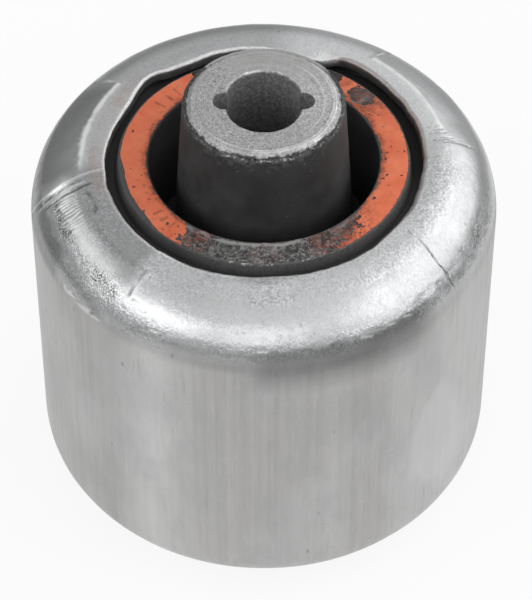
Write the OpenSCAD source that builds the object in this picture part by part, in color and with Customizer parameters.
// Axle beam bushing: an aluminium shell with both ends rolled in, a rubber body moulded on a
// metal cage, and a sleeve for the bolt. Sizes are in millimetres. Z is the axis, and it is zero
// at the sleeve's lower end. The bolt slot is long in Y, and the front is towards -Y.

/* [Shell] */
// Outside diameter of the shell
shell_d = 80; // [76:0.5:90]
// Height of the shell over both rolled ends
shell_h = 68.4; // [60:0.2:80]
// Thickness of the shell's wall
shell_wall = 3; // [2:0.1:4]
// Outside radius of the upper rolled end
top_roll = 11.2; // [9:0.2:13]
// Outside radius of the lower rolled end
foot_roll = 9.4; // [8:0.2:11]
// Flat land between the upper roll and its opening
lip_land = 2.6; // [1.5:0.1:4]
// Flat land between the lower roll and its opening
foot_land = 3.6; // [1.5:0.1:4]

/* [Crimping] */
// Lobes where the upper lip was pulled back: angle, reach past the opening, radius
lip_lobes = [
    [10, 1.1, 22],
    [40, 1.4, 22],
    [57, 1.8, 10],
    [100, 1.1, 14],
    [136, 1.9, 9],
    [250, 1.7, 26],
    [310, 1.5, 24]
]; // [0:360], [0.3:0.1:3], [8:1:27]
// Number of crimping jaws, each joint between two leaving a mark on the upper roll
jaw_count = 8; // [6:1:12]
// Angle of the first joint
jaw_turn = 8; // [0:1:45]
// Joint at which the metal folded, with a second mark beside the first
fold_joint = 4; // [0:1:5]
// Angle between the two marks of the fold
fold_spread = 3; // [2.5:0.1:5]
// Width of a jaw mark
jaw_mark_w = 1.1; // [0.6:0.1:2]
// Depth of a jaw mark
jaw_mark_depth = 0.3; // [0.15:0.05:0.5]

/* [Sleeve] */
// Outside diameter of the sleeve
sleeve_d = 26; // [24:0.2:28]
// How far the sleeve stands above the shell
sleeve_rise = 13.1; // [4:0.1:16]
// How far the sleeve stands out below the shell
sleeve_foot = 1.5; // [0.5:0.1:6]
// Bevel round the sleeve's ends
sleeve_bevel = 0.8; // [0.3:0.1:1.5]
// Width of the bolt slot
slot_w = 12.4; // [10.4:0.1:14.4]
// How much longer than wide the bolt slot is
slot_play = 2; // [1:0.1:3]
// Bevel round the slot's mouths
slot_bevel = 0.5; // [0.2:0.1:0.8]
// Diameter of the two notches beside the slot
notch_d = 4; // [3:0.1:5]
// How far a notch's centre lies outside the slot's wall
notch_set = 0.25; // [0.1:0.05:0.6]

/* [Rubber] */
// Gap between the shell's lip and the collar
collar_gap = 1.4; // [1:0.1:3]
// Width of the collar's face
collar_w = 5.2; // [4:0.1:6]
// How much the collar spreads towards its foot
collar_draft = 0.5; // [0.2:0.1:0.8]
// How far the upper collar's face lies below the top of the shell
collar_drop = 0.4; // [0.3:0.1:1.5]
// How far the lower collar's face lies above the underside of the shell
foot_collar_rise = 1; // [0.5:0.1:2]
// Thickness of the rubber skin at the sleeve's ends
skin_tip = 0.7; // [0.3:0.05:1]
// Angle at which the skin thickens away from the sleeve's ends
skin_taper = 3.7; // [2:0.1:5]
// Depth of the upper groove below the collar's face
groove_depth = 22; // [14:0.5:24]
// Depth of the lower groove above the lower collar's face
foot_groove_depth = 18; // [12:0.5:20]
// Bevel at the bottom of the grooves
groove_bevel = 1.2; // [0.5:0.1:1.5]

/* [Cage] */
// Thickness of the cage
cage_wall = 2; // [1.5:0.1:2.5]
// Thickness of the rubber seal between the cage's flanges and the shell's lands
cage_seal = 1.4; // [1:0.1:2]
// How far the seal ends short of the shell's rolls
seal_inset = 0.4; // [0.2:0.1:0.8]
// How far below the roll the cage's inside starts to turn in
cage_edge = 1; // [0.5:0.1:2]
// Rubber over the inner edge of the cage's flanges
cage_cover = 1.8; // [1.2:0.1:2.5]

/* [Colour mark] */
// Thickness of the paint
mark_t = 0.2; // [0.1:0.05:0.3]
// Bare rubber left beside the paint
mark_margin = 0.3; // [0.1:0.05:0.6]

/* [Hidden] */
$fn = 96;
cut = 1;

shell_r = shell_d / 2;
wall_r = shell_r - shell_wall;
shell_low = sleeve_foot;
shell_high = shell_low + shell_h;
lip_r = shell_r - top_roll - lip_land;
foot_lip_r = shell_r - foot_roll - foot_land;

sleeve_r = sleeve_d / 2;
sleeve_l = shell_high + sleeve_rise;
slot_r = slot_w / 2;

collar_out = lip_r - collar_gap;
collar_in = collar_out - collar_w;
collar_high = shell_high - collar_drop;
collar_low = shell_low + foot_collar_rise;

cage_r = wall_r - cage_wall;
cage_high = shell_high - shell_wall - cage_seal - cage_wall;
cage_low = shell_low + shell_wall + cage_seal + cage_wall;

jaw_mark_r = (jaw_mark_w * jaw_mark_w / 4 + jaw_mark_depth * jaw_mark_depth) / (2 * jaw_mark_depth);
jaw_mark_from = 12;
jaw_mark_sweep = 66;

// Radius of the rubber skin at a given distance from the sleeve's nearer end
function skin_r(from_end) = sleeve_r + skin_tip + from_end * tan(skin_taper);

// Angle of a joint between two jaws
function joint_angle(joint) = jaw_turn + joint * 360 / jaw_count;

// Quarter disc in the first quadrant
module quarter(r) {
    intersection() {
        circle(r);
        square(2 * r);
    }
}

// Half section of a drum whose ends turn in with a round corner
module drum_section(r, low, high, low_r, high_r) {
    translate([0, low + low_r]) square([r, high - high_r - low - low_r]);
    translate([0, high - high_r]) square([r - high_r, high_r]);
    translate([r - high_r, high - high_r]) quarter(high_r);
    translate([0, low]) square([r - low_r, low_r]);
    translate([r - low_r, low + low_r]) mirror([0, 1]) quarter(low_r);
}

// The space inside the shell
module inside_section() {
    drum_section(
        wall_r,
        shell_low + shell_wall,
        shell_high - shell_wall,
        foot_roll - shell_wall,
        top_roll - shell_wall
    );
}

// A round cut through the upper end, out to the given reach from the axis
module lip_cut(r, reach) {
    translate([reach - r, 0, shell_high - shell_wall - cut])
        rotate(180) cylinder(r = r, h = shell_wall + 2 * cut);
}

// One mark that runs over the upper roll between two jaws
module jaw_mark() {
    translate([shell_r - top_roll, 0, shell_high - top_roll])
        rotate([90, 0, 0])
            rotate(jaw_mark_from)
                rotate_extrude(angle = jaw_mark_sweep)
                    translate([top_roll + jaw_mark_r - jaw_mark_depth, 0])
                        circle(jaw_mark_r);
}

module outer_shell() {
    color([0.70, 0.70, 0.69])
        difference() {
            rotate_extrude()
                difference() {
                    drum_section(shell_r, shell_low, shell_high, foot_roll, top_roll);
                    inside_section();
                    translate([0, shell_low - cut]) square([foot_lip_r, shell_wall + 2 * cut]);
                }
            lip_cut(lip_r, lip_r);
            for (lobe = lip_lobes) rotate(lobe[0]) lip_cut(lobe[2], lip_r + lobe[1]);
            for (joint = [0 : jaw_count - 1]) rotate(joint_angle(joint)) jaw_mark();
            rotate(joint_angle(fold_joint) + fold_spread) jaw_mark();
        }
}

// Section of the space inside the cage
module cage_core_section() {
    bend_high = shell_high - top_roll - cage_edge;
    bend_low = shell_low + foot_roll + cage_edge;
    flange_high = cage_r - (cage_high - bend_high);
    flange_low = cage_r - (bend_low - cage_low);
    polygon([
        [0, cage_low],
        [flange_low, cage_low],
        [cage_r, bend_low],
        [cage_r, bend_high],
        [flange_high, cage_high],
        [0, cage_high]
    ]);
}

// Section of the cage: a tube against the shell's wall with a flange turned in at each end,
// set back under the shell's lands to leave room for a rubber seal
module cage_section() {
    seal_high = shell_high - shell_wall - cage_seal;
    difference() {
        inside_section();
        cage_core_section();
        translate([0, seal_high]) square([shell_r - top_roll - seal_inset, cage_seal + cut]);
        translate([0, shell_low + shell_wall - cut])
            square([shell_r - foot_roll - seal_inset, cage_seal + cut]);
        translate([0, shell_low]) square([collar_in + cage_cover, shell_h]);
    }
}

module cage() {
    color([0.42, 0.42, 0.44])
        rotate_extrude() cage_section();
}

// Points of a section in anticlockwise order, whichever end of the part they belong to
function wound(points, side) =
    side > 0 ? points : [for (i = [len(points) - 1 : -1 : 0]) points[i]];

// Section of a collar that rises from its foot to its face
module collar_section(foot, face) {
    points = [
        [collar_in, foot],
        [collar_out + collar_draft, foot],
        [collar_out, face],
        [collar_in, face]
    ];
    polygon(wound(points, face - foot));
}

// Section of the skin along the sleeve, from the part's middle to the sleeve's end
module skin_section(middle, end) {
    side = sign(end - middle);
    tip = end - side * sleeve_bevel;
    points = [
        [0, middle],
        [skin_r(abs(end - middle)), middle],
        [skin_r(sleeve_bevel), tip],
        [0, tip]
    ];
    polygon(wound(points, side));
}

// Section of the well inside a collar, down to the bottom of its groove
module well_section(face, side, depth) {
    bottom = face - side * depth;
    mouth = face + side * cut;
    points = [
        [0, bottom],
        [collar_in - groove_bevel, bottom],
        [collar_in, bottom + side * groove_bevel],
        [collar_in, mouth],
        [0, mouth]
    ];
    polygon(wound(points, side));
}

module rubber_section() {
    middle = (shell_low + shell_high) / 2;
    difference() {
        union() {
            difference() {
                union() {
                    inside_section();
                    collar_section(shell_high - shell_wall - cut, collar_high);
                    collar_section(shell_low + shell_wall + cut, collar_low);
                }
                well_section(collar_high, 1, groove_depth);
                well_section(collar_low, -1, foot_groove_depth);
            }
            skin_section(middle, sleeve_l);
            skin_section(middle, 0);
        }
        cage_section();
        translate([0, -cut]) square([sleeve_r, sleeve_l + 2 * cut]);
    }
}

module rubber_body() {
    color([0.14, 0.14, 0.14])
        rotate_extrude() rubber_section();
}

// One round end of the slot, on the +Y side
module slot_end(r) {
    translate([0, slot_play / 2])
        intersection() {
            circle(r);
            translate([-2 * r, 0]) square([4 * r, 2 * r]);
        }
}

module slot_outline() {
    square([slot_w, slot_play], center = true);
    slot_end(slot_r);
    mirror([0, 1]) slot_end(slot_r);
    for (side = [-1, 1])
        translate([side * (slot_r + notch_set), 0]) circle(notch_d / 2);
}

// Half cone that bevels one round end of the slot's upper mouth
module slot_end_bevel() {
    translate([0, slot_play / 2, 0])
        intersection() {
            cylinder(r1 = slot_r, r2 = slot_r + slot_bevel, h = slot_bevel);
            translate([-slot_w, 0, 0]) cube([2 * slot_w, slot_w, slot_bevel]);
        }
}

// Bevel of the slot's upper mouth, from its foot upwards
module slot_mouth() {
    slot_end_bevel();
    mirror([0, 1, 0]) slot_end_bevel();
    translate([0, slot_play / 2, 0])
        rotate([90, 0, 0])
            linear_extrude(slot_play)
                polygon([
                    [-slot_r, 0],
                    [slot_r, 0],
                    [slot_r + slot_bevel, slot_bevel],
                    [-slot_r - slot_bevel, slot_bevel]
                ]);
}

module inner_sleeve() {
    color([0.56, 0.56, 0.55])
        difference() {
            rotate_extrude()
                polygon([
                    [0, 0],
                    [sleeve_r - sleeve_bevel, 0],
                    [sleeve_r, sleeve_bevel],
                    [sleeve_r, sleeve_l - sleeve_bevel],
                    [sleeve_r - sleeve_bevel, sleeve_l],
                    [0, sleeve_l]
                ]);
            translate([0, 0, -cut]) linear_extrude(sleeve_l + 2 * cut) slot_outline();
            translate([0, 0, sleeve_l - slot_bevel]) slot_mouth();
            translate([0, 0, slot_bevel]) mirror([0, 0, 1]) slot_mouth();
        }
}

module colour_mark() {
    color([0.80, 0.40, 0.28])
        rotate_extrude()
            translate([collar_in + mark_margin, collar_high])
                square([collar_w - 2 * mark_margin, mark_t]);
}

outer_shell();
cage();
rubber_body();
inner_sleeve();
colour_mark();
